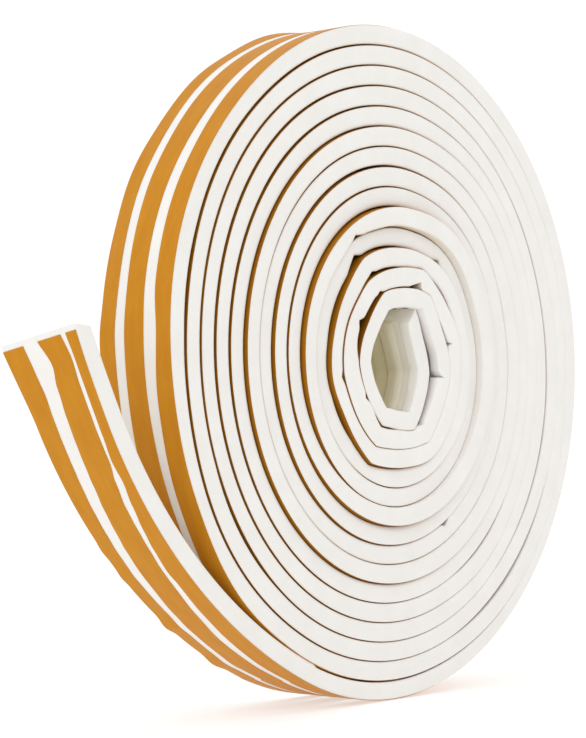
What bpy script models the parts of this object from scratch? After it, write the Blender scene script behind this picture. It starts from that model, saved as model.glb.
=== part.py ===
"""A coil of self-adhesive foam rubber door weatherstrip with a free tail, standing on its rim.

The strip is a twin profile, torn down the middle when it is used. It is wound adhesive side out, and three
ribbons of release paper cover the adhesive. The coil's axis runs along Y, and its front end faces -Y. Angles
and turns are counted from the bottom of the coil, where the tail leaves it, and run anticlockwise as seen
from the front while the strip winds inwards.
"""

import math

import bmesh
import bpy
from mathutils import Vector

MM = 0.001

# The strip's section.
WIDTH = 18.0 * MM
THICKNESS = 4.0 * MM
EDGE_ROUND = 1.2 * MM
HOLLOW_DEPTH = 0.7 * MM
RIDGE_HEIGHT = 0.5 * MM
TEAR_GROOVE_DEPTH = 1.3 * MM

# The inner face of one half, from its outer edge to the tear groove: width used up, depth below the crown.
HALF_PROFILE = (
    (EDGE_ROUND, 0.0),
    (2.4 * MM, 0.0),
    (2.8 * MM, HOLLOW_DEPTH),
    (4.7 * MM, HOLLOW_DEPTH),
    (5.1 * MM, HOLLOW_DEPTH - RIDGE_HEIGHT),
    (6.0 * MM, HOLLOW_DEPTH - RIDGE_HEIGHT),
    (6.4 * MM, HOLLOW_DEPTH),
    (8.5 * MM, HOLLOW_DEPTH),
)

# The coil.
RIM_RADIUS = 68.75 * MM
PITCH = 3.96 * MM
PITCH_SAG = 0.11 * MM
STATIONS = 40
STRIP_END = 14.406
INNER_FROM = 11.45

# Where the winding wanders off the spiral: turns, half width in turns, how far out.
WANDER = (
    (0.70, 0.09, 0.9 * MM),
    (0.87, 0.05, 0.6 * MM),
    (1.14, 0.12, 1.2 * MM),
    (1.67, 0.08, 0.6 * MM),
    (1.85, 0.08, 0.6 * MM),
    (2.19, 0.12, 0.7 * MM),
    (2.66, 0.10, 0.5 * MM),
    (3.30, 0.12, -0.5 * MM),
    (3.64, 0.12, 0.4 * MM),
    (4.11, 0.07, 0.6 * MM),
    (4.39, 0.08, 0.5 * MM),
    (5.38, 0.10, 0.8 * MM),
    (6.38, 0.10, 0.7 * MM),
    (7.38, 0.10, 0.9 * MM),
    (8.38, 0.10, 0.8 * MM),
    (9.40, 0.09, 0.9 * MM),
    (10.39, 0.09, 1.0 * MM),
    (10.59, 0.05, 0.6 * MM),
    (11.38, 0.10, 1.0 * MM),
)

# How far the turns stick out of the front end, and sink into the rear end: turns, distance.
PUSHED_OUT = (
    (5.00, 0.0),
    (5.40, 0.3 * MM),
    (5.75, 0.6 * MM),
    (6.25, 0.6 * MM),
    (6.75, 0.0),
    (7.25, 0.2 * MM),
    (7.75, 0.5 * MM),
    (8.25, 0.2 * MM),
    (8.75, 0.5 * MM),
    (9.05, 1.7 * MM),
    (9.40, 2.2 * MM),
    (9.75, 1.4 * MM),
    (10.25, 0.25 * MM),
    (10.75, 0.5 * MM),
    (11.25, 1.4 * MM),
    (11.75, 1.4 * MM),
    (12.25, 2.0 * MM),
    (13.00, 1.8 * MM),
    (13.35, 1.8 * MM),
    (13.75, 1.6 * MM),
    (14.00, 1.0 * MM),
    (14.25, 0.0),
    (14.40, 0.0),
)

# The creased inner turns: turns, radius of the outer face, and whether it is creased there.
INNER_TURNS = (
    (11.502, 21.9 * MM, False),
    (11.590, 22.4 * MM, True),
    (11.640, 21.5 * MM, False),
    (11.704, 21.5 * MM, False),
    (11.785, 22.4 * MM, False),
    (11.845, 21.9 * MM, False),
    (11.903, 22.8 * MM, False),
    (11.932, 23.6 * MM, True),
    (11.969, 22.8 * MM, False),
    (12.016, 22.45 * MM, False),
    (12.075, 22.9 * MM, False),
    (12.127, 21.8 * MM, False),
    (12.186, 20.7 * MM, False),
    (12.241, 20.15 * MM, False),
    (12.283, 20.15 * MM, True),
    (12.340, 19.05 * MM, False),
    (12.385, 18.85 * MM, False),
    (12.437, 19.35 * MM, True),
    (12.466, 18.5 * MM, False),
    (12.510, 17.8 * MM, False),
    (12.550, 17.7 * MM, False),
    (12.600, 17.95 * MM, True),
    (12.645, 17.6 * MM, False),
    (12.700, 18.05 * MM, False),
    (12.785, 18.8 * MM, True),
    (12.830, 18.6 * MM, False),
    (12.880, 19.05 * MM, False),
    (12.932, 19.85 * MM, True),
    (12.964, 19.05 * MM, False),
    (13.005, 18.7 * MM, False),
    (13.049, 19.0 * MM, False),
    (13.081, 19.6 * MM, True),
    (13.114, 18.3 * MM, False),
    (13.165, 17.3 * MM, False),
    (13.212, 17.05 * MM, True),
    (13.252, 16.4 * MM, False),
    (13.302, 15.2 * MM, False),
    (13.328, 15.0 * MM, False),
    (13.357, 15.3 * MM, False),
    (13.395, 16.05 * MM, True),
    (13.435, 15.0 * MM, False),
    (13.464, 14.25 * MM, False),
    (13.505, 13.7 * MM, False),
    (13.567, 13.7 * MM, True),
    (13.612, 12.8 * MM, False),
    (13.665, 12.4 * MM, False),
    (13.718, 12.9 * MM, False),
    (13.770, 13.6 * MM, True),
    (13.830, 13.5 * MM, False),
    (13.890, 13.95 * MM, False),
    (13.940, 15.1 * MM, True),
    (13.964, 14.75 * MM, False),
    (14.001, 14.85 * MM, False),
    (14.055, 15.7 * MM, True),
    (14.090, 14.2 * MM, False),
    (14.130, 12.95 * MM, False),
    (14.184, 12.2 * MM, False),
    (14.209, 12.0 * MM, True),
    (14.262, 10.85 * MM, False),
    (14.310, 10.4 * MM, False),
    (14.350, 10.7 * MM, False),
    (14.406, 12.2 * MM, True),
)

# The tail leaves the coil this many stations before the bottom, as one Bezier curve.
TAIL_LIFT = 3
TAIL_STATIONS = 12
TAIL_TIP = Vector((-89.0, 2.8)) * MM
TAIL_TIP_SLOPE = Vector((0.31, -0.95))
TAIL_PULL = 32.0 * MM
TIP_SKEW = 3.2 * MM

# The tip bends outward over this last share of the tail: at its front edge and at its rear edge.
TIP_FLARE_SHARE = 0.17
TIP_FLARE = (1.6 * MM, 3.0 * MM)

# Release paper: each ribbon's near and far edge on the coil, measured from the strip's front edge.
LINER_EDGES = {
    "liner_front": (0.0, 4.1 * MM),
    "liner_middle": (6.5 * MM, 11.5 * MM),
    "liner_rear": (13.9 * MM, 18.0 * MM),
}

# How far the ribbons' inner edges shift along the tail: share of the tail from the coil, then the front
# ribbon's far edge, the middle ribbon's near and far edge, and the rear ribbon's near edge.
LINER_SHIFTS = (
    (0.00, 0.0, 0.0, 0.0, 0.0),
    (0.12, 1.4 * MM, 1.1 * MM, 1.6 * MM, 0.7 * MM),
    (0.40, 0.7 * MM, -0.2 * MM, 0.7 * MM, 0.5 * MM),
    (0.70, -1.4 * MM, -2.3 * MM, -1.4 * MM, -0.6 * MM),
    (0.92, -1.8 * MM, -3.4 * MM, -3.2 * MM, -1.3 * MM),
    (1.00, -1.5 * MM, -2.7 * MM, -2.0 * MM, -1.0 * MM),
)
LINER_THICKNESS = 0.2 * MM
LINER_GAP = 0.2 * MM
LINER_SHORT_OF_TIP = 1.2 * MM
LINER_SHORT_OF_CROTCH = 2

RUBBER_WHITE = (0.85, 0.83, 0.79, 1.0)
PAPER_GOLD = (0.64, 0.27, 0.03, 1.0)


def clear_scene():
    for obj in list(bpy.data.objects):
        bpy.data.objects.remove(obj, do_unlink=True)


def material(name, color, roughness):
    mat = bpy.data.materials.new(name)
    mat.use_nodes = True
    shader = mat.node_tree.nodes["Principled BSDF"]
    shader.inputs["Base Color"].default_value = color
    shader.inputs["Roughness"].default_value = roughness
    shader.inputs["Metallic"].default_value = 0.0
    return mat


def add_object(name, mesh_maker, mat):
    mesh = bpy.data.meshes.new(name)
    bm = bmesh.new()
    mesh_maker(bm)
    bmesh.ops.recalc_face_normals(bm, faces=bm.faces)
    bm.to_mesh(mesh)
    bm.free()
    mesh.materials.append(mat)
    obj = bpy.data.objects.new(name, mesh)
    bpy.context.collection.objects.link(obj)
    return obj


def round_radius(turns):
    """The smooth turns: a spiral that sags a little, and wanders where it was wound loosely."""
    radius = RIM_RADIUS - (PITCH - PITCH_SAG * math.cos(2 * math.pi * turns)) * turns
    for middle, half_width, size in WANDER:
        share = abs(turns - middle) / half_width
        if share < 1.0:
            radius += size * (1 + math.cos(math.pi * share)) / 2
    return radius


def inner_knots():
    """The inner turns' points with the slope on either side of each, which differs at a crease."""
    points = ((INNER_FROM, round_radius(INNER_FROM), False),) + INNER_TURNS
    grades = [(b[1] - a[1]) / (b[0] - a[0]) for a, b in zip(points, points[1:])]
    knots = []
    for k, (turns, radius, creased) in enumerate(points):
        before = grades[max(k - 1, 0)]
        after = grades[min(k, len(grades) - 1)]
        if not creased:
            before = after = (before + after) / 2
        knots.append((turns, radius, before, after))
    return knots


INNER_KNOTS = inner_knots()


def strip_radius(turns):
    """Radius of the strip's outer face: the smooth turns, then a curve through the inner points."""
    if turns <= INNER_FROM:
        return round_radius(turns)
    for start, end in zip(INNER_KNOTS, INNER_KNOTS[1:]):
        if turns <= end[0]:
            span = end[0] - start[0]
            share = (turns - start[0]) / span
            value = start[1] * (1 + 2 * share) * (1 - share) ** 2
            value += end[1] * share * share * (3 - 2 * share)
            value += span * start[3] * share * (1 - share) ** 2
            return value - span * end[2] * share * share * (1 - share)
    return INNER_KNOTS[-1][1]


def turn_radius(turns):
    """Radius of the outer face, and past the strip's end the radius of the bore."""
    if turns <= STRIP_END:
        return strip_radius(turns)
    step = 0.002
    rise = (strip_radius(turns - 1 + step) - strip_radius(turns - 1 - step)) / (4 * math.pi * step)
    slant = math.atan2(rise, strip_radius(turns - 1))
    return strip_radius(turns - 1) - THICKNESS / math.cos(slant)


def pushed_out(turns):
    """How far the strip is shifted towards the front at this turn, eased between the listed places."""
    if turns <= PUSHED_OUT[0][0]:
        return 0.0
    for start, end in zip(PUSHED_OUT, PUSHED_OUT[1:]):
        if turns <= end[0]:
            share = (turns - start[0]) / (end[0] - start[0])
            return start[1] + (end[1] - start[1]) * share * share * (3 - 2 * share)
    return PUSHED_OUT[-1][1]


def turns_at(station):
    """Half a station off, so that a side of the many-sided rim lies at the bottom and not a corner."""
    return (station + 0.5) / STATIONS


def coil_point(turns, radius):
    angle = 2 * math.pi * turns
    return Vector((radius * math.sin(angle), -radius * math.cos(angle)))


def bezier(points, t):
    a, b, c, d = points
    s = 1 - t
    place = a * s**3 + b * (3 * s * s * t) + c * (3 * s * t * t) + d * t**3
    slope = (b - a) * (3 * s * s) + (c - b) * (6 * s * t) + (d - c) * (3 * t * t)
    return place, slope.normalized()


def tail_curve():
    turns = turns_at(-TAIL_LIFT)
    start = coil_point(turns, turn_radius(turns))
    angle = 2 * math.pi * turns
    away = Vector((-math.cos(angle), -math.sin(angle)))
    return (start, start + away * TAIL_PULL, TAIL_TIP + TAIL_TIP_SLOPE * TAIL_PULL, TAIL_TIP)


def path_length(station):
    """Share of the tail's curve at a tail station, which count down from -TAIL_LIFT."""
    return (-TAIL_LIFT - station) / TAIL_STATIONS


def tip_flare(share, across):
    """How far the tail bends outward here, away from the coil."""
    reach = max(0.0, 1 - (1 - share) / TIP_FLARE_SHARE)
    front, rear = TIP_FLARE
    return (front + (rear - front) * across / WIDTH) * reach**1.5


def outer_place(station, across, inset):
    """World place of a point on the strip, across from its front edge and inset from its outer face."""
    if station >= -TAIL_LIFT:
        turns = turns_at(station)
        flat = coil_point(turns, turn_radius(turns) - inset)
        return Vector((flat.x, across - WIDTH / 2 - pushed_out(turns), flat.y))
    share = path_length(station)
    place, slope = bezier(tail_curve(), share)
    inward = Vector((slope.y, -slope.x))
    place = place + inward * (inset - tip_flare(share, across)) - slope * (TIP_SKEW * share * across / WIDTH)
    return Vector((place.x, across - WIDTH / 2, place.y))


def local_thickness(station):
    """The coil's turns press on each other, and the tail has the strip's own thickness."""
    if station < -TAIL_LIFT:
        return THICKNESS
    return turn_radius(turns_at(station)) - turn_radius(turns_at(station) + 1)


def inner_profile(relief):
    """The whole inner face, front edge to rear edge, as width used up and depth. Relief fades it to flat."""
    half = [(across, depth * relief) for across, depth in HALF_PROFILE]
    middle = [(WIDTH / 2, TEAR_GROOVE_DEPTH * relief)]
    mirrored = [(WIDTH - across, depth) for across, depth in reversed(half)]
    return half + middle + mirrored


class StripMesh:
    """The strip's skin, with neighbouring turns welded where they touch."""

    def __init__(self, bm):
        self.bm = bm
        self.first = -TAIL_LIFT - TAIL_STATIONS
        self.lift = -TAIL_LIFT
        self.last = round(STRIP_END * STATIONS - 0.5)
        self.rings = {}
        for station in range(self.first, self.last + 1):
            self.rings[station] = self.ring(station)
        for station in range(self.first, self.lift + 1):
            self.add_inner_points(station, station == self.lift)
        for station in range(self.last - STATIONS, self.last + 1):
            self.add_inner_points(station, station == self.last - STATIONS)

    def vertex(self, station, across, inset):
        return self.bm.verts.new(outer_place(station, across, inset))

    def ring(self, station):
        """Front and rear edge points: the outer corner, the end of the flat edge and the groove's foot."""
        depth = local_thickness(station)
        sides = []
        for edge, step in ((0.0, EDGE_ROUND), (WIDTH, -EDGE_ROUND)):
            sides.append(
                (
                    self.vertex(station, edge, 0.0),
                    self.vertex(station, edge, depth - EDGE_ROUND),
                    self.vertex(station, edge + step, depth),
                )
            )
        return {"front": sides[0], "rear": sides[1]}

    def add_inner_points(self, station, flat):
        depth = local_thickness(station)
        points = inner_profile(0.0 if flat else 1.0)[1:-1]
        line = [self.vertex(station, across, depth - sunk) for across, sunk in points]
        ring = self.rings[station]
        ring["inner"] = [ring["front"][2]] + line + [ring["rear"][2]]

    def quad(self, a, b, c, d):
        self.bm.faces.new((a, b, c, d))

    def edges(self, station):
        """The flat edge, the rounded edge and the foot of the next turn, at both ends of the coil."""
        here = self.rings[station]
        there = self.rings[station + 1]
        for side in ("front", "rear"):
            for step in (0, 1):
                self.quad(here[side][step], there[side][step], there[side][step + 1], here[side][step + 1])
            if self.lift <= station < self.last - STATIONS:
                inner_here = self.rings[station + STATIONS][side][0]
                inner_there = self.rings[station + STATIONS + 1][side][0]
                self.quad(here[side][2], there[side][2], inner_there, inner_here)

    def inner_face(self, station):
        here = self.rings[station]["inner"]
        there = self.rings[station + 1]["inner"]
        for a, b, c, d in zip(here, there, there[1:], here[1:]):
            self.quad(a, b, c, d)

    def outer_face(self, station):
        here = self.rings[station]
        there = self.rings[station + 1]
        if station + 1 < self.lift + STATIONS:
            self.quad(here["front"][0], there["front"][0], there["rear"][0], here["rear"][0])
            return
        crotch = self.rings[self.lift]["inner"]
        chain = [there["front"][0]] + crotch + [there["rear"][0]]
        for a, b in zip(chain, chain[1:]):
            self.bm.faces.new((here["front"][0], a, b))
        self.bm.faces.new((here["front"][0], there["rear"][0], here["rear"][0]))

    def cut_ends(self):
        tip = self.rings[self.first]
        self.bm.faces.new(list(tip["front"][:2]) + tip["inner"] + [tip["rear"][1], tip["rear"][0]])
        end = self.rings[self.last]
        above = self.rings[self.last - STATIONS]["inner"]
        for a, b, c, d in zip(end["inner"], end["inner"][1:], above[1:], above):
            self.quad(a, b, c, d)
        self.quad(end["front"][0], end["front"][1], end["front"][2], above[0])
        self.quad(end["rear"][0], end["rear"][1], end["rear"][2], above[-1])

    def build(self):
        for station in range(self.first, self.last):
            self.edges(station)
        for station in range(self.first, self.lift):
            self.inner_face(station)
        for station in range(self.last - STATIONS, self.last):
            self.inner_face(station)
        for station in range(self.first, self.lift + STATIONS):
            self.outer_face(station)
        self.cut_ends()


def make_strip(bm):
    StripMesh(bm).build()


def liner_edges(name, station):
    """The ribbon's near and far edge at this station, which shift along the tail."""
    near, far = LINER_EDGES[name]
    if station >= -TAIL_LIFT:
        return near, far
    share = min(1.0, path_length(station))
    for start, end in zip(LINER_SHIFTS, LINER_SHIFTS[1:]):
        if share <= end[0]:
            part = (share - start[0]) / (end[0] - start[0])
            shifts = [a + (b - a) * part for a, b in zip(start[1:], end[1:])]
            break
    if name == "liner_front":
        return near, far + shifts[0]
    if name == "liner_middle":
        return near + shifts[1], far + shifts[2]
    return near + shifts[3], far


def make_liner(bm, name):
    """A ribbon on the outermost turn and the tail, ending where the tail lifts off the turn below."""
    first = -TAIL_LIFT - TAIL_STATIONS
    last = STATIONS - TAIL_LIFT - LINER_SHORT_OF_CROTCH
    rings = []
    for station in range(first, last + 1):
        spot = station
        if station == first:
            spot = first + LINER_SHORT_OF_TIP / (120.0 * MM) * TAIL_STATIONS
        near, far = liner_edges(name, spot)
        corners = ((near, -LINER_GAP), (near, -LINER_GAP - LINER_THICKNESS))
        corners += ((far, -LINER_GAP - LINER_THICKNESS), (far, -LINER_GAP))
        rings.append([bm.verts.new(outer_place(spot, across, inset)) for across, inset in corners])
    for here, there in zip(rings, rings[1:]):
        for k in range(4):
            m = (k + 1) % 4
            bm.faces.new((here[k], there[k], there[m], here[m]))
    bm.faces.new(rings[0])
    bm.faces.new(rings[-1])


def stand_on_origin(pieces):
    """Parents the pieces to an empty that sets the middle of the whole box's underside on the origin."""
    corners = [vertex.co for obj in pieces for vertex in obj.data.vertices]
    low = [min(co[axis] for co in corners) for axis in range(3)]
    high = [max(co[axis] for co in corners) for axis in range(3)]
    holder = bpy.data.objects.new("coil_stand", None)
    bpy.context.collection.objects.link(holder)
    holder.location = (-(low[0] + high[0]) / 2, -(low[1] + high[1]) / 2, -low[2])
    for obj in pieces:
        obj.parent = holder


def main():
    clear_scene()
    rubber = material("white_foam_rubber", RUBBER_WHITE, 0.75)
    paper = material("gold_release_paper", PAPER_GOLD, 0.45)
    pieces = [add_object("strip", make_strip, rubber)]
    for name in LINER_EDGES:
        pieces.append(add_object(name, lambda bm, name=name: make_liner(bm, name), paper))
    stand_on_origin(pieces)


main()
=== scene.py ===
"""The looks of a coil of self-adhesive foam rubber door weatherstrip with a free tail.

The strip is swept turn by turn, with the gaps between its turns, the creases of the inner turns and the
profile of its inner face. Three ribbons of gold release paper follow its whole adhesive face. Lengths in
the tables are millimetres. Turns are counted from the bottom of the coil, where the tail leaves it, and
run anticlockwise as seen from the front while the strip winds inwards.
"""

import math

import bpy
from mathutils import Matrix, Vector, noise


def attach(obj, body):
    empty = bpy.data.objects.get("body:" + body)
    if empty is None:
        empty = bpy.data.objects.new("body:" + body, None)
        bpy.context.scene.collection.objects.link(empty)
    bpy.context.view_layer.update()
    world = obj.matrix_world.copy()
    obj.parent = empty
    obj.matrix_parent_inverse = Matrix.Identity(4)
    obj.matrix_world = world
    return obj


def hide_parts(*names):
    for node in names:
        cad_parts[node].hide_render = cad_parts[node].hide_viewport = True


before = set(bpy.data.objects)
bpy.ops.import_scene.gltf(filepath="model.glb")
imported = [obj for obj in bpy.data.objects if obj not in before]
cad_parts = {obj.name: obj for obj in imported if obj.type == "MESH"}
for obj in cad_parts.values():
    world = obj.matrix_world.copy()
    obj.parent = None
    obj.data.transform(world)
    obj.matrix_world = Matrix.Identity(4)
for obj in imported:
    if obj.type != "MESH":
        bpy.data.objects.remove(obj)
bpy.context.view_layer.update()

MM = 0.001
COIL_AXIS = Vector((11.429, 1.099, 68.985))

# The strip's section. The inner edges are rounded in so many steps, and the outer face of a half has
# points at these distances across.
WIDTH = 18.0
THICKNESS = 3.85
LEAST_THICKNESS = 2.6
INNER_EDGE_SINK = 0.4
INNER_EDGE_REACH = 1.15
INNER_EDGE_STEPS = 5
OUTER_CHAMFER = 0.16
OUTER_FACE_POINTS = (6.0, 3.0)

# The inner face of one half: width used up, depth below the crown.
HALF_PROFILE = (
    (1.3, 0.0),
    (2.3, 0.0),
    (2.7, 0.35),
    (3.0, 0.7),
    (4.6, 0.7),
    (4.9, 0.3),
    (5.5, 0.15),
    (6.1, 0.3),
    (6.4, 0.7),
    (8.3, 0.8),
)
TEAR_GROOVE_DEPTH = 1.4

# The coil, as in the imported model. WANDER is how far the outer face strays from an even spiral, as rows of
# turns, half width, size.
RIM_RADIUS = 68.75
PITCH = 3.96
PITCH_SAG = 0.11
STRIP_END = 14.406
INNER_FROM = 11.45
WANDER = (
    (0.70, 0.09, 0.9),
    (0.87, 0.05, 0.6),
    (1.14, 0.12, 1.2),
    (1.67, 0.08, 0.6),
    (1.85, 0.08, 0.6),
    (2.19, 0.12, 0.7),
    (2.66, 0.10, 0.5),
    (3.30, 0.12, -0.5),
    (3.64, 0.12, 0.4),
    (4.11, 0.07, 0.6),
    (4.39, 0.08, 0.5),
    (5.38, 0.10, 0.8),
    (6.38, 0.10, 0.7),
    (7.38, 0.10, 0.9),
    (8.38, 0.10, 0.8),
    (9.40, 0.09, 0.9),
    (10.39, 0.09, 1.0),
    (10.59, 0.05, 0.6),
    (11.38, 0.10, 1.0),
)

# How far the strip stands out of the coil's front end: turns, distance.
PUSHED_OUT = (
    (5.00, 0.0),
    (5.40, 0.3),
    (5.75, 0.6),
    (6.25, 0.6),
    (6.75, 0.0),
    (7.25, 0.2),
    (7.75, 0.5),
    (8.25, 0.2),
    (8.75, 0.5),
    (9.05, 1.7),
    (9.40, 2.195),
    (9.75, 1.4),
    (10.25, 0.25),
    (10.75, 0.5),
    (11.25, 1.4),
    (11.75, 1.4),
    (12.25, 1.9),
    (12.75, 1.5),
    (13.00, 1.6),
    (13.35, 1.7),
    (13.75, 1.5),
    (14.00, 1.0),
    (14.25, 0.0),
    (14.40, 0.0),
)

# The creased inner turns: turns, radius of the outer face, and whether it is creased there.
INNER_TURNS = (
    (11.502, 21.9, False),
    (11.590, 22.4, True),
    (11.640, 21.5, False),
    (11.704, 21.5, False),
    (11.785, 22.4, False),
    (11.845, 21.9, False),
    (11.903, 22.8, False),
    (11.932, 23.6, True),
    (11.969, 22.8, False),
    (12.016, 22.45, False),
    (12.075, 22.9, False),
    (12.127, 21.8, False),
    (12.186, 20.7, False),
    (12.241, 20.15, False),
    (12.283, 20.15, True),
    (12.340, 19.05, False),
    (12.385, 18.85, False),
    (12.437, 19.35, True),
    (12.466, 18.5, False),
    (12.510, 17.8, False),
    (12.550, 17.7, False),
    (12.600, 17.95, True),
    (12.645, 17.6, False),
    (12.700, 18.05, False),
    (12.785, 18.8, True),
    (12.830, 18.6, False),
    (12.880, 19.05, False),
    (12.932, 19.85, True),
    (12.964, 19.05, False),
    (13.005, 18.7, False),
    (13.049, 19.0, False),
    (13.081, 19.6, True),
    (13.114, 18.3, False),
    (13.165, 17.3, False),
    (13.212, 17.05, True),
    (13.252, 16.4, False),
    (13.302, 15.2, False),
    (13.328, 15.0, False),
    (13.357, 15.3, False),
    (13.395, 16.05, True),
    (13.435, 15.0, False),
    (13.464, 14.25, False),
    (13.505, 13.7, False),
    (13.567, 13.7, True),
    (13.612, 12.8, False),
    (13.665, 12.4, False),
    (13.718, 12.9, False),
    (13.770, 13.6, True),
    (13.830, 13.5, False),
    (13.890, 13.95, False),
    (13.940, 15.1, True),
    (13.964, 14.75, False),
    (14.001, 14.85, False),
    (14.055, 15.7, True),
    (14.090, 14.2, False),
    (14.130, 12.95, False),
    (14.184, 12.2, False),
    (14.209, 12.0, True),
    (14.262, 10.85, False),
    (14.310, 10.4, False),
    (14.350, 10.7, False),
    (14.406, 12.2, True),
)

# Folds that pinch the strip from its inner face: turns, reach before, reach after, depth.
PINCHES = (
    (7.073, 0.006, 0.006, 1.0),
    (9.590, 0.006, 0.014, 0.9),
    (10.400, 0.008, 0.020, 1.5),
    (10.598, 0.012, 0.030, 1.2),
    (11.581, 0.010, 0.010, 0.4),
    (11.789, 0.010, 0.014, 0.5),
    (12.279, 0.003, 0.005, 1.3),
    (12.434, 0.006, 0.035, 1.1),
    (12.579, 0.012, 0.012, 0.5),
    (12.678, 0.015, 0.018, 1.0),
    (12.853, 0.012, 0.016, 0.6),
    (13.208, 0.003, 0.006, 1.9),
)

# Where the strip swells to fill the room to the next turn in: turns, half width, size.
SWOLLEN = ((12.83, 0.13, 2.2),)

# Gaps between a turn and the next one in: the least, and what the left part of each turn has more.
LEAST_GAP = 0.10
LEFT_GAP = 0.31
LEFT_MIDDLE = 0.70
LEFT_REACH = 0.46

# Where the gap opens further: turns, half width, extra gap.
LOOSE = (
    (0.00, 0.14, 0.22),
    (0.72, 0.26, 0.15),
    (2.72, 0.26, 0.15),
    (3.72, 0.26, 0.15),
    (6.52, 0.16, 0.20),
    (8.50, 0.14, 0.12),
    (10.52, 0.10, 0.15),
)

# The free tail: one Bezier curve from the coil to the tip.
TAIL_LIFT = -0.0625
TAIL_TIP = Vector((-89.0, 2.8))
TAIL_TIP_SLOPE = Vector((0.31, -0.95))
TAIL_PULL = 32.0
TIP_SKEW = 3.2
TAIL_STATIONS = 90

# The tip bends outward over this last share of the tail: at its front edge and at its rear edge.
TIP_FLARE_SHARE = 0.17
TIP_FLARE = (0.9, 2.3)
TIP_FLARE_POWER = 1.5

# The tip is cut on the slant, so that its inner face is shorter; the slant fades over a few sections.
TIP_BEVEL = 1.5
TIP_BEVEL_STATIONS = 5

# Spacing of the cross-sections along the strip, and the turns from which they lie closer.
STEP_SMOOTH = 2.0
STEP_CREASED = 0.8
CLOSER_FROM = INNER_FROM - 1.1

# How far the rear edge leans outward: place, half width, size. Places are turns on the coil, and on the
# tail they run from 0 at the coil to -1 at the tip. The lean grows with this power of the distance across.
LEAN_POWER = 5
REAR_LEAN = (
    (-0.52, 0.03, 0.2),
    (-0.44, 0.03, 0.2),
    (-0.27, 0.04, 0.55),
    (-0.10, 0.05, 0.5),
    (0.54, 0.05, 0.85),
    (0.60, 0.035, 0.35),
    (0.668, 0.03, 0.4),
    (0.70, 0.09, -1.0),
    (0.745, 0.015, 0.3),
    (0.82, 0.05, 0.25),
    (0.87, 0.05, -0.6),
)

# Release paper, measured across from the strip's front edge: place, far edge of the front ribbon, near
# and far edge of the middle ribbon, near edge of the rear ribbon.
LINER_EDGES = (
    (-1.000, 2.6, 3.8, 9.5, 12.9),
    (-0.936, 2.3, 3.0, 7.9, 12.6),
    (-0.891, 2.3, 3.3, 8.9, 12.5),
    (-0.832, 2.4, 3.4, 9.6, 13.0),
    (-0.780, 2.5, 3.5, 9.8, 13.1),
    (-0.728, 2.9, 3.6, 10.0, 13.2),
    (-0.680, 2.5, 4.4, 10.3, 13.4),
    (-0.624, 3.2, 5.1, 10.8, 13.8),
    (-0.565, 3.9, 5.3, 11.2, 14.1),
    (-0.520, 4.4, 5.5, 11.6, 14.2),
    (-0.446, 4.9, 6.1, 12.1, 14.4),
    (-0.416, 4.6, 6.2, 12.2, 14.4),
    (-0.312, 5.0, 6.9, 12.6, 14.4),
    (-0.208, 5.4, 7.6, 13.0, 14.5),
    (-0.104, 5.7, 7.6, 13.2, 14.7),
    (0.000, 5.0, 7.0, 12.4, 14.4),
    (0.250, 4.1, 6.5, 11.5, 13.9),
    (0.500, 4.4, 6.8, 12.0, 14.2),
    (0.613, 4.7, 7.1, 12.6, 14.8),
    (0.668, 4.2, 6.8, 11.8, 14.0),
    (0.722, 4.3, 6.9, 11.3, 13.7),
    (0.745, 3.5, 6.7, 11.6, 14.0),
    (0.777, 4.2, 6.7, 11.5, 13.7),
    (0.840, 4.8, 6.6, 11.5, 13.9),
    (1.000, 4.1, 6.5, 11.5, 13.9),
)

# How far the front ribbon's near edge and the rear ribbon's far edge lie in from the strip's edges: turns,
# distance. In the wound part the front one lies further in at the coil's right.
LINER_INSETS = (
    (0.00, 0.05),
    (0.06, 0.45),
    (0.47, 0.45),
    (0.56, 0.05),
    (0.93, 0.05),
    (0.98, 0.25),
    (1.10, 0.25),
    (1.20, 0.08),
)
RIGHT_INSET = 0.22
RIGHT_INSET_FROM = 1.1

# The ribbons lie this far off the foam, end short of the tip, and have a point this far in from the near
# edge. Their free edges wander by noise of this size and rate along the strip.
LINER_LIFT = 0.02
LINER_THICKNESS = 0.06
LINER_SHORT_OF_TIP = 0.2
LINER_MIDDLE = 1.6
EDGE_NOISE = 0.16
EDGE_NOISE_RATE = 0.06
FAR_EDGE_NOISE = Vector((0, 5, 3))

# The ribbons' map starts here, in metres across, where the next turn out covers them; painted shade darkens
# the ribbons from here on.
TUCKED = 0.1

# The foam's map: the turns at the end whose inner face is the bore, which gets painted shade, and how much
# of the painted seam shade is left at the coil's right.
BORE_TURNS = 1.05
LEAST_SEAM_SHADE = 0.05

# The camera, in millimetres from the coil's axis.
CAMERA_PLACE = Vector((-330.906, -258.388, -18.278))
CAMERA_RIGHT = Vector((0.64109, -0.76746, 0.0))
CAMERA_UP = Vector((-0.02912, -0.02433, 0.99928))
CAMERA_BACK = Vector((-0.76691, -0.64063, -0.03795))
CAMERA_LENS = 99.99
CAMERA_SENSOR = 36.0
CAMERA_CLIP = (0.01, 50.0)

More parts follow.
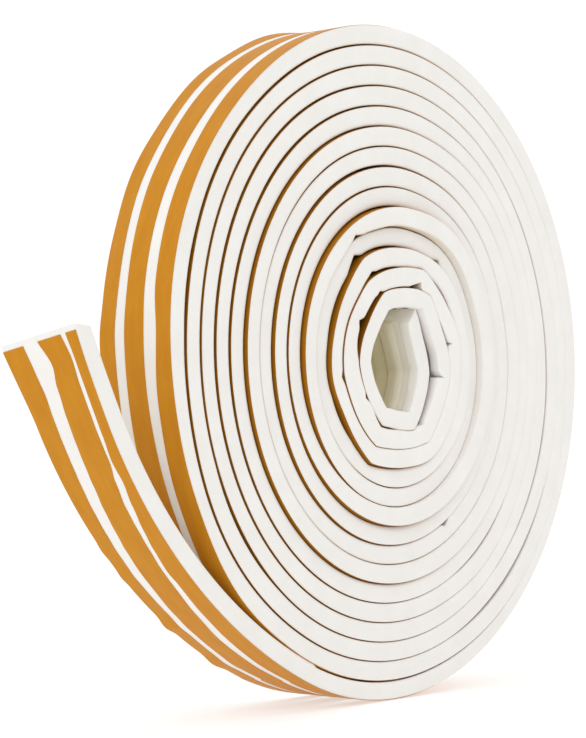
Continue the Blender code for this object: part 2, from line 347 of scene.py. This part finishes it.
# Looks. Tones and tints are rows of a place on a ramp and the colour there.
SHARP_ANGLE = math.radians(38)
FOAM_COLOR = (0.875, 0.855, 0.818, 1.0)
FOAM_TINTS = (
    (0.30, (0.860, 0.838, 0.798)),
    (0.70, (0.890, 0.872, 0.838)),
)
PAPER_TINTS = (
    (0.30, (0.550, 0.216, 0.0075)),
    (0.70, (0.605, 0.253, 0.0115)),
)
# Painted shade deep in the bore: darker and warmer from about a third of the way in, light again at the far
# end.
BORE_PAINTED_SHADE = (
    (0.05, (1.00, 1.00, 1.00)),
    (0.15, (0.95, 0.94, 0.90)),
    (0.34, (0.81, 0.77, 0.63)),
    (0.40, (0.66, 0.61, 0.44)),
    (0.68, (0.60, 0.54, 0.34)),
    (0.80, (0.60, 0.54, 0.34)),
    (0.97, (1.00, 1.00, 1.00)),
)
# Painted shade in the seams between turns, over a warm tan of painted light bounced off the gold paper onto
# the rounded inner edge.
SEAM_PAINTED_SHADE_AND_BOUNCE = (
    (0.10, (1.00, 1.00, 1.00)),
    (0.40, (0.93, 0.86, 0.76)),
    (0.70, (0.66, 0.50, 0.34)),
    (1.00, (0.25, 0.16, 0.09)),
)
# Painted shade on the ribbons where the next turn out covers them, darkening within a fraction of a
# millimetre.
TUCKED_PAINTED_SHADE = (
    (TUCKED + 0.0002, (1.00, 1.00, 1.00)),
    (TUCKED + 0.0004, (0.60, 0.56, 0.55)),
    (TUCKED + 0.0008, (0.32, 0.28, 0.28)),
)

# The studio. The sky is darkest toward SHADED_SIDE.
SHADED_SIDE = (0.1, -0.95, -0.3)
SKY_TONES = (
    (0.35, (1.06, 1.06, 1.06)),
    (0.90, (0.30, 0.30, 0.30)),
)
KEY_PLACE = (-0.5, -1.1, 0.95)
KEY_SIZE = 0.7
KEY_POWER = 2.6
FLOOR_HALF = 6.0
FLOOR_COLOR = (0.50, 0.50, 0.50, 1.0)
FLOOR_GLOW = 0.54


def eased(table, turns):
    """A value from a table of (turns, value), eased between its rows."""
    if turns <= table[0][0]:
        return table[0][1]
    for start, end in zip(table, table[1:]):
        if turns <= end[0]:
            share = (turns - start[0]) / (end[0] - start[0])
            return start[1] + (end[1] - start[1]) * share * share * (3 - 2 * share)
    return table[-1][1]


def bumps(table, turns):
    """The sum of smooth bumps, each a row of (middle, half width, size)."""
    total = 0.0
    for middle, half_width, size in table:
        share = abs(turns - middle) / half_width
        if share < 1.0:
            total += size * (1 + math.cos(math.pi * share)) / 2
    return total


def smooth_radius(turns):
    """Radius of the outer face where the turns aren't creased."""
    sagged = PITCH - PITCH_SAG * math.cos(2 * math.pi * turns)
    return RIM_RADIUS - sagged * turns + bumps(WANDER, turns)


def knots():
    """The inner turns' points with the slope on either side of each, which differs at a crease."""
    points = ((INNER_FROM, smooth_radius(INNER_FROM), False),) + INNER_TURNS
    grades = [(b[1] - a[1]) / (b[0] - a[0]) for a, b in zip(points, points[1:])]
    found = []
    for k, (turns, radius, creased) in enumerate(points):
        before = grades[max(k - 1, 0)]
        after = grades[min(k, len(grades) - 1)]
        if not creased:
            before = after = (before + after) / 2
        found.append((turns, radius, before, after))
    return found


KNOTS = knots()


def radius_at(turns):
    """Radius of the strip's outer face."""
    if turns <= INNER_FROM:
        return smooth_radius(turns)
    for start, end in zip(KNOTS, KNOTS[1:]):
        if turns <= end[0]:
            span = end[0] - start[0]
            t = (turns - start[0]) / span
            value = start[1] * (1 + 2 * t) * (1 - t) ** 2 + end[1] * t * t * (3 - 2 * t)
            return value + span * (start[3] * t * (1 - t) ** 2 - end[2] * t * t * (1 - t))
    return KNOTS[-1][1]


def slant(turns):
    """Cosine between the strip's own direction and the circle at this turn."""
    step = 0.002
    rise = (radius_at(turns + step) - radius_at(turns - step)) / (4 * math.pi * step)
    return math.cos(math.atan2(rise, radius_at(turns)))


def pinch_at(turns):
    """How deep a fold pinches the strip here."""
    deepest = 0.0
    for middle, before, after, depth in PINCHES:
        reach = before if turns < middle else after
        share = abs(turns - middle) / reach
        if share < 1.0:
            deepest = max(deepest, depth * (1 - share))
    return deepest


def leftness(turns):
    """1 at the left of the coil, 0 at its right."""
    away = abs(turns % 1.0 - LEFT_MIDDLE)
    share = min(1.0, min(away, 1 - away) / LEFT_REACH)
    return (1 + math.cos(math.pi * share)) / 2


def gap_at(turns):
    """Gap between this turn and the next one in."""
    extra = LEFT_GAP * leftness(turns) if turns < INNER_FROM else 0.0
    return LEAST_GAP + extra + bumps(LOOSE, turns)


def thickness_at(turns):
    """Radial thickness: the strip's own, or less where the next turn presses on it."""
    own = THICKNESS / slant(turns) + bumps(SWOLLEN, turns)
    if turns + 1 <= STRIP_END:
        room = radius_at(turns) - radius_at(turns + 1) - gap_at(turns)
        own = max(LEAST_THICKNESS, min(own, room))
    return own - pinch_at(turns)


def polar(turns, radius):
    """The point at this turn and radius, across and up from the coil's axis."""
    angle = 2 * math.pi * turns
    return Vector((radius * math.sin(angle), -radius * math.cos(angle)))


def tail_place(share):
    """Place and direction on the tail's curve, from the coil at 0 to the tip at 1."""
    angle = 2 * math.pi * TAIL_LIFT
    away = Vector((-math.cos(angle), -math.sin(angle)))
    a = polar(TAIL_LIFT, radius_at(TAIL_LIFT))
    b = a + away * TAIL_PULL
    d = TAIL_TIP
    c = d + TAIL_TIP_SLOPE * TAIL_PULL
    s = 1 - share
    place = a * s**3 + b * (3 * s * s * share) + c * (3 * s * share * share) + d * share**3
    slope = (b - a) * (3 * s * s) + (c - b) * (6 * s * share) + (d - c) * (3 * share * share)
    return place, slope.normalized()


class Station:
    """One cross-section: where it is, which way is in, and how thick the strip is there."""

    def __init__(self, turns, place, inward, thickness, out=0.0, skew=Vector((0, 0)), bevel=Vector((0, 0))):
        self.turns = turns
        self.place = place
        self.inward = inward
        self.thickness = thickness
        self.out = out
        self.skew = skew
        self.bevel = bevel
        self.lean = -inward * bumps(REAR_LEAN, turns)
        self.along = 0.0
        self.tuck = 0.0

    def point(self, across, depth):
        share = across / WIDTH
        flat = self.place + self.inward * depth + self.skew * share + self.lean * share**LEAN_POWER
        flat += self.bevel * max(0.0, depth / self.thickness)
        y = across - WIDTH / 2 - self.out
        return (COIL_AXIS + Vector((flat.x, y, flat.y))) * MM


def tail_stations():
    """The free tail's cross-sections, from the tip to the coil."""
    found = []
    for k in range(TAIL_STATIONS):
        share = 1 - k / TAIL_STATIONS
        place, slope = tail_place(share)
        inward = Vector((slope.y, -slope.x))
        flare = max(0.0, 1 - (1 - share) / TIP_FLARE_SHARE) ** TIP_FLARE_POWER
        place = place - inward * (TIP_FLARE[0] * flare)
        skew = slope * (-TIP_SKEW * share) - inward * ((TIP_FLARE[1] - TIP_FLARE[0]) * flare)
        bevel = slope * (-TIP_BEVEL * max(0.0, 1 - k / TIP_BEVEL_STATIONS))
        found.append(Station(-share, place, inward, THICKNESS, 0.0, skew, bevel))
    return found


def wound_turns():
    """The turns at which the wound part has a cross-section, with one at each crease."""
    found = [TAIL_LIFT]
    corner_turns = [turns for turns, _, creased in INNER_TURNS if creased]
    corner_turns += [pinch[0] for pinch in PINCHES]
    while found[-1] < STRIP_END:
        turns = found[-1]
        step = STEP_CREASED if turns > CLOSER_FROM else STEP_SMOOTH
        after = turns + step / (2 * math.pi * radius_at(turns))
        for crease in corner_turns:
            if turns + 1e-6 < crease < after:
                after = crease
        found.append(min(after, STRIP_END))
    return found


def pushed_out(turns):
    """How far the strip stands out of the front end here."""
    return eased(PUSHED_OUT, turns) if turns > PUSHED_OUT[0][0] else 0.0


def wound_stations():
    """The wound cross-sections. Their ribbons' map starts at TUCKED where the next turn out covers them,
    where their painted shade begins.
    """
    found = []
    for turns in wound_turns():
        radius = radius_at(turns)
        place = polar(turns, radius)
        inward = -place.normalized()
        out = pushed_out(turns)
        station = Station(turns, place, inward, thickness_at(turns), out)
        if turns > 1.0:
            shown = max(0.0, out - pushed_out(turns - 1))
            station.tuck = TUCKED - shown * MM
        found.append(station)
    return found


def all_stations():
    """The cross-sections from the tip to the bore, each with its distance along the strip."""
    stations = tail_stations() + wound_stations()
    along = 0.0
    for before, here in zip([stations[0]] + stations, stations):
        along += (here.place - before.place).length
        here.along = along
    return stations


def half_section(thickness):
    """Front half of the section, from the middle of the outer face round to the tear groove.

    Each point is the distance across, the depth, and how far it lies in the seam to the next turn, which
    sets its painted seam shade.
    """
    points = [(across, 0.0, 0.0) for across in OUTER_FACE_POINTS]
    points += [(OUTER_CHAMFER, 0.0, 0.0), (0.0, OUTER_CHAMFER, 0.0)]
    points.append((0.0, (thickness - INNER_EDGE_REACH) / 2, 0.0))
    for k in range(INNER_EDGE_STEPS + 1):
        share = k / INNER_EDGE_STEPS
        across = INNER_EDGE_SINK * (1 - math.cos(math.pi / 2 * share))
        depth = thickness - INNER_EDGE_REACH * (1 - math.sin(math.pi / 2 * share))
        points.append((across, depth, share**2))
    points += [(across, thickness - sunk, 1.0) for across, sunk in HALF_PROFILE]
    return points


def section(thickness):
    """The whole section: the front half, the tear groove and the rear half."""
    half = half_section(thickness)
    middle = [(WIDTH / 2, thickness - TEAR_GROOVE_DEPTH, 1.0)]
    return half + middle + [(WIDTH - across, depth, seam) for across, depth, seam in reversed(half)]


def grid_mesh(name, rings, coordinates, closed_ring=True):
    """A skin over rings of points, capped at both ends, with its map."""
    size = len(rings[0])
    points = [point for ring in rings for point in ring]
    faces = []
    for row in range(len(rings) - 1):
        for k in range(size):
            m = (k + 1) % size
            faces.append((row * size + k, row * size + m, (row + 1) * size + m, (row + 1) * size + k))
    faces.append(tuple(range(size - 1, -1, -1)))
    last = (len(rings) - 1) * size
    faces.append(tuple(range(last, last + size)))
    mesh = bpy.data.meshes.new(name)
    mesh.from_pydata(points, [], faces)
    layer = mesh.uv_layers.new(name="strip_map")
    flat = []
    for loop in mesh.loops:
        flat += coordinates[loop.vertex_index]
    layer.data.foreach_set("uv", flat)
    mesh.shade_smooth()
    mesh.set_sharp_from_angle(angle=SHARP_ANGLE)
    obj = bpy.data.objects.new(name, mesh)
    bpy.context.collection.objects.link(obj)
    return obj


def make_strip(stations):
    """The foam. Its map holds how far along the bore a point lies, and how far it lies in a seam, which set
    its painted shade.
    """
    rings = []
    coordinates = []
    for station in stations:
        in_bore = station.turns > STRIP_END - BORE_TURNS
        # Painted seam shade is strongest at the coil's left and faint at its right; none in the bore or on
        # the tail.
        seam_shade_share = LEAST_SEAM_SHADE + (1 - LEAST_SEAM_SHADE) * leftness(station.turns)
        if in_bore or station.turns < 0:
            seam_shade_share = 0.0
        outline = section(station.thickness)
        for across, depth, seam in outline:
            along_bore = across / WIDTH if in_bore and depth > station.thickness / 2 else 0.0
            coordinates.append((along_bore, seam * seam_shade_share))
        rings.append([station.point(across, depth) for across, depth, _ in outline])
    return grid_mesh("strip_foam", rings, coordinates)


def liner_edges(name, turns):
    """The ribbon's near and far edge at this place."""
    rows = list(zip(*LINER_EDGES))
    edges = [eased(list(zip(rows[0], column)), turns) for column in rows[1:]]
    if name == "liner_front":
        deeper = RIGHT_INSET * (1 - leftness(turns)) if turns > RIGHT_INSET_FROM else 0.0
        return eased(LINER_INSETS, turns) + deeper, edges[0]
    if name == "liner_middle":
        return edges[1], edges[2]
    return edges[3], WIDTH - eased(LINER_INSETS, turns)


def make_liner(name, stations):
    """A thin ribbon on the adhesive face. Its map holds the distance along and across, in metres."""
    kept = [station for station in stations if station.along > LINER_SHORT_OF_TIP]
    rings = []
    coordinates = []
    for station in kept:
        near, far = liner_edges(name, station.turns)
        wave = Vector((station.along * EDGE_NOISE_RATE, near, 0.0))
        if name != "liner_front":
            near += EDGE_NOISE * noise.noise(wave)
        if name != "liner_rear":
            far += EDGE_NOISE * noise.noise(wave + FAR_EDGE_NOISE)
        low = -LINER_LIFT
        high = -LINER_LIFT - LINER_THICKNESS
        middle = near + min(LINER_MIDDLE, (far - near) / 2)
        outline = ((near, low), (near, high), (middle, high), (far, high), (far, low))
        rings.append([station.point(across, depth) for across, depth in outline])
        # The across value starts at the station's tuck, which places the painted shade.
        coordinates += [(station.along * MM, across * MM + station.tuck) for across, _ in outline]
    return grid_mesh(name + "_ribbon", rings, coordinates)


def node(tree, kind, **sockets):
    """A new node with the named inputs set."""
    made = tree.nodes.new(kind)
    for key, value in sockets.items():
        made.inputs[key.replace("_", " ")].default_value = value
    return made


def tone_ramp(tree, value, tones):
    """The colour socket of a ramp over the listed (position, colour) tones."""
    ramp = tree.nodes.new("ShaderNodeValToRGB")
    tree.links.new(value, ramp.inputs["Fac"])
    steps = ramp.color_ramp.elements
    for k, (position, color) in enumerate(tones):
        step = steps[k] if k < 2 else steps.new(position)
        step.position = position
        step.color = (*color, 1.0)
    return ramp.outputs["Color"]


def multiply(tree, first, second):
    """The colour socket of two colours multiplied."""
    mix = tree.nodes.new("ShaderNodeMix")
    mix.data_type = "RGBA"
    mix.blend_type = "MULTIPLY"
    mix.inputs["Factor"].default_value = 1.0
    tree.links.new(first, mix.inputs[6])
    tree.links.new(second, mix.inputs[7])
    return mix.outputs[2]


def principled(name, roughness, specular):
    """A new material with its node tree and its Principled shader."""
    mat = bpy.data.materials.new(name)
    mat.use_nodes = True
    shader = mat.node_tree.nodes["Principled BSDF"]
    shader.inputs["Roughness"].default_value = roughness
    shader.inputs["Specular IOR Level"].default_value = specular
    return mat, mat.node_tree, shader


def strip_map(tree):
    """The node of the piece's own map, and the node that splits it into its two numbers."""
    place = node(tree, "ShaderNodeUVMap")
    place.uv_map = "strip_map"
    split = node(tree, "ShaderNodeSeparateXYZ")
    tree.links.new(place.outputs["UV"], split.inputs["Vector"])
    return place, split


def fine_bump(tree, shader, height, strength, distance):
    bump = node(tree, "ShaderNodeBump", Strength=strength, Distance=distance)
    tree.links.new(height.outputs["Fac"], bump.inputs["Height"])
    tree.links.new(bump.outputs["Normal"], shader.inputs["Normal"])


def foam_material():
    """Matt white foam with fine pores, with painted shade deep in the bore and painted shade and warm bounce
    light in the seams.
    """
    mat, tree, shader = principled("white_foam_rubber", 0.8, 0.25)
    shader.inputs["Base Color"].default_value = FOAM_COLOR
    place = node(tree, "ShaderNodeTexCoord")
    pores = node(tree, "ShaderNodeTexNoise", Scale=2600.0, Detail=2.0, Roughness=0.6)
    blotch = node(tree, "ShaderNodeTexNoise", Scale=160.0, Detail=3.0, Roughness=0.55)
    tree.links.new(place.outputs["Object"], pores.inputs["Vector"])
    tree.links.new(place.outputs["Object"], blotch.inputs["Vector"])
    _, split = strip_map(tree)
    tint = tone_ramp(tree, blotch.outputs["Fac"], FOAM_TINTS)
    # Painted shade: the bore's and the seams' tones darken the foam's colour.
    bore = tone_ramp(tree, split.outputs["X"], BORE_PAINTED_SHADE)
    seam = tone_ramp(tree, split.outputs["Y"], SEAM_PAINTED_SHADE_AND_BOUNCE)
    tinted_and_bore_shaded = multiply(tree, tint, bore)
    tree.links.new(multiply(tree, tinted_and_bore_shaded, seam), shader.inputs["Base Color"])
    fine_bump(tree, shader, pores, 0.25, 0.00008)
    return mat


def paper_material():
    """Satin gold paper with a faint cloud and fibre, with painted shade where the next turn out covers it.
    """
    mat, tree, shader = principled("gold_release_paper", 0.5, 0.12)
    place, split = strip_map(tree)
    scale = node(tree, "ShaderNodeMapping", Scale=(120.0, 500.0, 1.0))
    cloud = node(tree, "ShaderNodeTexNoise", Scale=1.0, Detail=4.0, Roughness=0.6)
    tree.links.new(place.outputs["UV"], scale.inputs["Vector"])
    tree.links.new(scale.outputs["Vector"], cloud.inputs["Vector"])
    tint = tone_ramp(tree, cloud.outputs["Fac"], PAPER_TINTS)
    # Painted shade where the next turn out covers the ribbon.
    painted_tuck_shade = tone_ramp(tree, split.outputs["Y"], TUCKED_PAINTED_SHADE)
    tree.links.new(multiply(tree, tint, painted_tuck_shade), shader.inputs["Base Color"])
    fibre = node(tree, "ShaderNodeTexNoise", Scale=900.0, Detail=2.0, Roughness=0.6)
    tree.links.new(place.outputs["UV"], fibre.inputs["Vector"])
    fine_bump(tree, shader, fibre, 0.15, 0.00005)
    return mat


def make_floor():
    mesh = bpy.data.meshes.new("floor")
    corners = [(x * FLOOR_HALF, y * FLOOR_HALF, 0) for x, y in ((-1, -1), (1, -1), (1, 1), (-1, 1))]
    mesh.from_pydata(corners, [], [(0, 1, 2, 3)])
    obj = bpy.data.objects.new("floor", mesh)
    bpy.context.collection.objects.link(obj)
    mat = bpy.data.materials.new("studio_white")
    mat.use_nodes = True
    shader = mat.node_tree.nodes["Principled BSDF"]
    shader.inputs["Base Color"].default_value = FLOOR_COLOR
    shader.inputs["Roughness"].default_value = 0.9
    shader.inputs["Emission Color"].default_value = (1.0, 1.0, 1.0, 1.0)
    shader.inputs["Emission Strength"].default_value = FLOOR_GLOW
    mesh.materials.append(mat)


def light_sky():
    world = bpy.data.worlds.new("white_studio")
    bpy.context.scene.world = world
    world.use_nodes = True
    tree = world.node_tree
    sky = tree.nodes["Background"]
    sky.inputs["Strength"].default_value = 1.0
    place = node(tree, "ShaderNodeTexCoord")
    toward = node(tree, "ShaderNodeVectorMath")
    toward.operation = "DOT_PRODUCT"
    toward.inputs[1].default_value = SHADED_SIDE
    tree.links.new(place.outputs["Generated"], toward.inputs[0])
    tree.links.new(tone_ramp(tree, toward.outputs["Value"], SKY_TONES), sky.inputs["Color"])


def light_key():
    """A round soft light above the front, aimed at the middle of the coil."""
    data = bpy.data.lights.new("key", "AREA")
    data.shape = "DISK"
    data.size = KEY_SIZE
    data.energy = KEY_POWER
    obj = bpy.data.objects.new("key", data)
    obj.location = KEY_PLACE
    aim = COIL_AXIS * MM - Vector(KEY_PLACE)
    obj.rotation_euler = aim.to_track_quat("-Z", "Y").to_euler()
    bpy.context.collection.objects.link(obj)


def make_camera():
    data = bpy.data.cameras.new("camera")
    data.sensor_fit = "AUTO"
    data.sensor_width = CAMERA_SENSOR
    data.lens = CAMERA_LENS
    data.clip_start, data.clip_end = CAMERA_CLIP
    obj = bpy.data.objects.new("camera", data)
    bpy.context.collection.objects.link(obj)
    place = (COIL_AXIS + CAMERA_PLACE) * MM
    matrix = obj.matrix_world.copy()
    for row in range(3):
        matrix[row][0] = CAMERA_RIGHT[row]
        matrix[row][1] = CAMERA_UP[row]
        matrix[row][2] = CAMERA_BACK[row]
        matrix[row][3] = place[row]
    obj.matrix_world = matrix
    bpy.context.scene.camera = obj


def main():
    bpy.context.scene.view_settings.view_transform = "Standard"
    stations = all_stations()
    foam = foam_material()
    paper = paper_material()
    strip = make_strip(stations)
    strip.data.materials.append(foam)
    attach(strip, "root")
    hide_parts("strip")
    for name in ("liner_front", "liner_middle", "liner_rear"):
        ribbon = make_liner(name, stations)
        ribbon.data.materials.append(paper)
        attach(ribbon, "root")
        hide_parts(name)
    make_floor()
    light_sky()
    light_key()
    make_camera()


main()
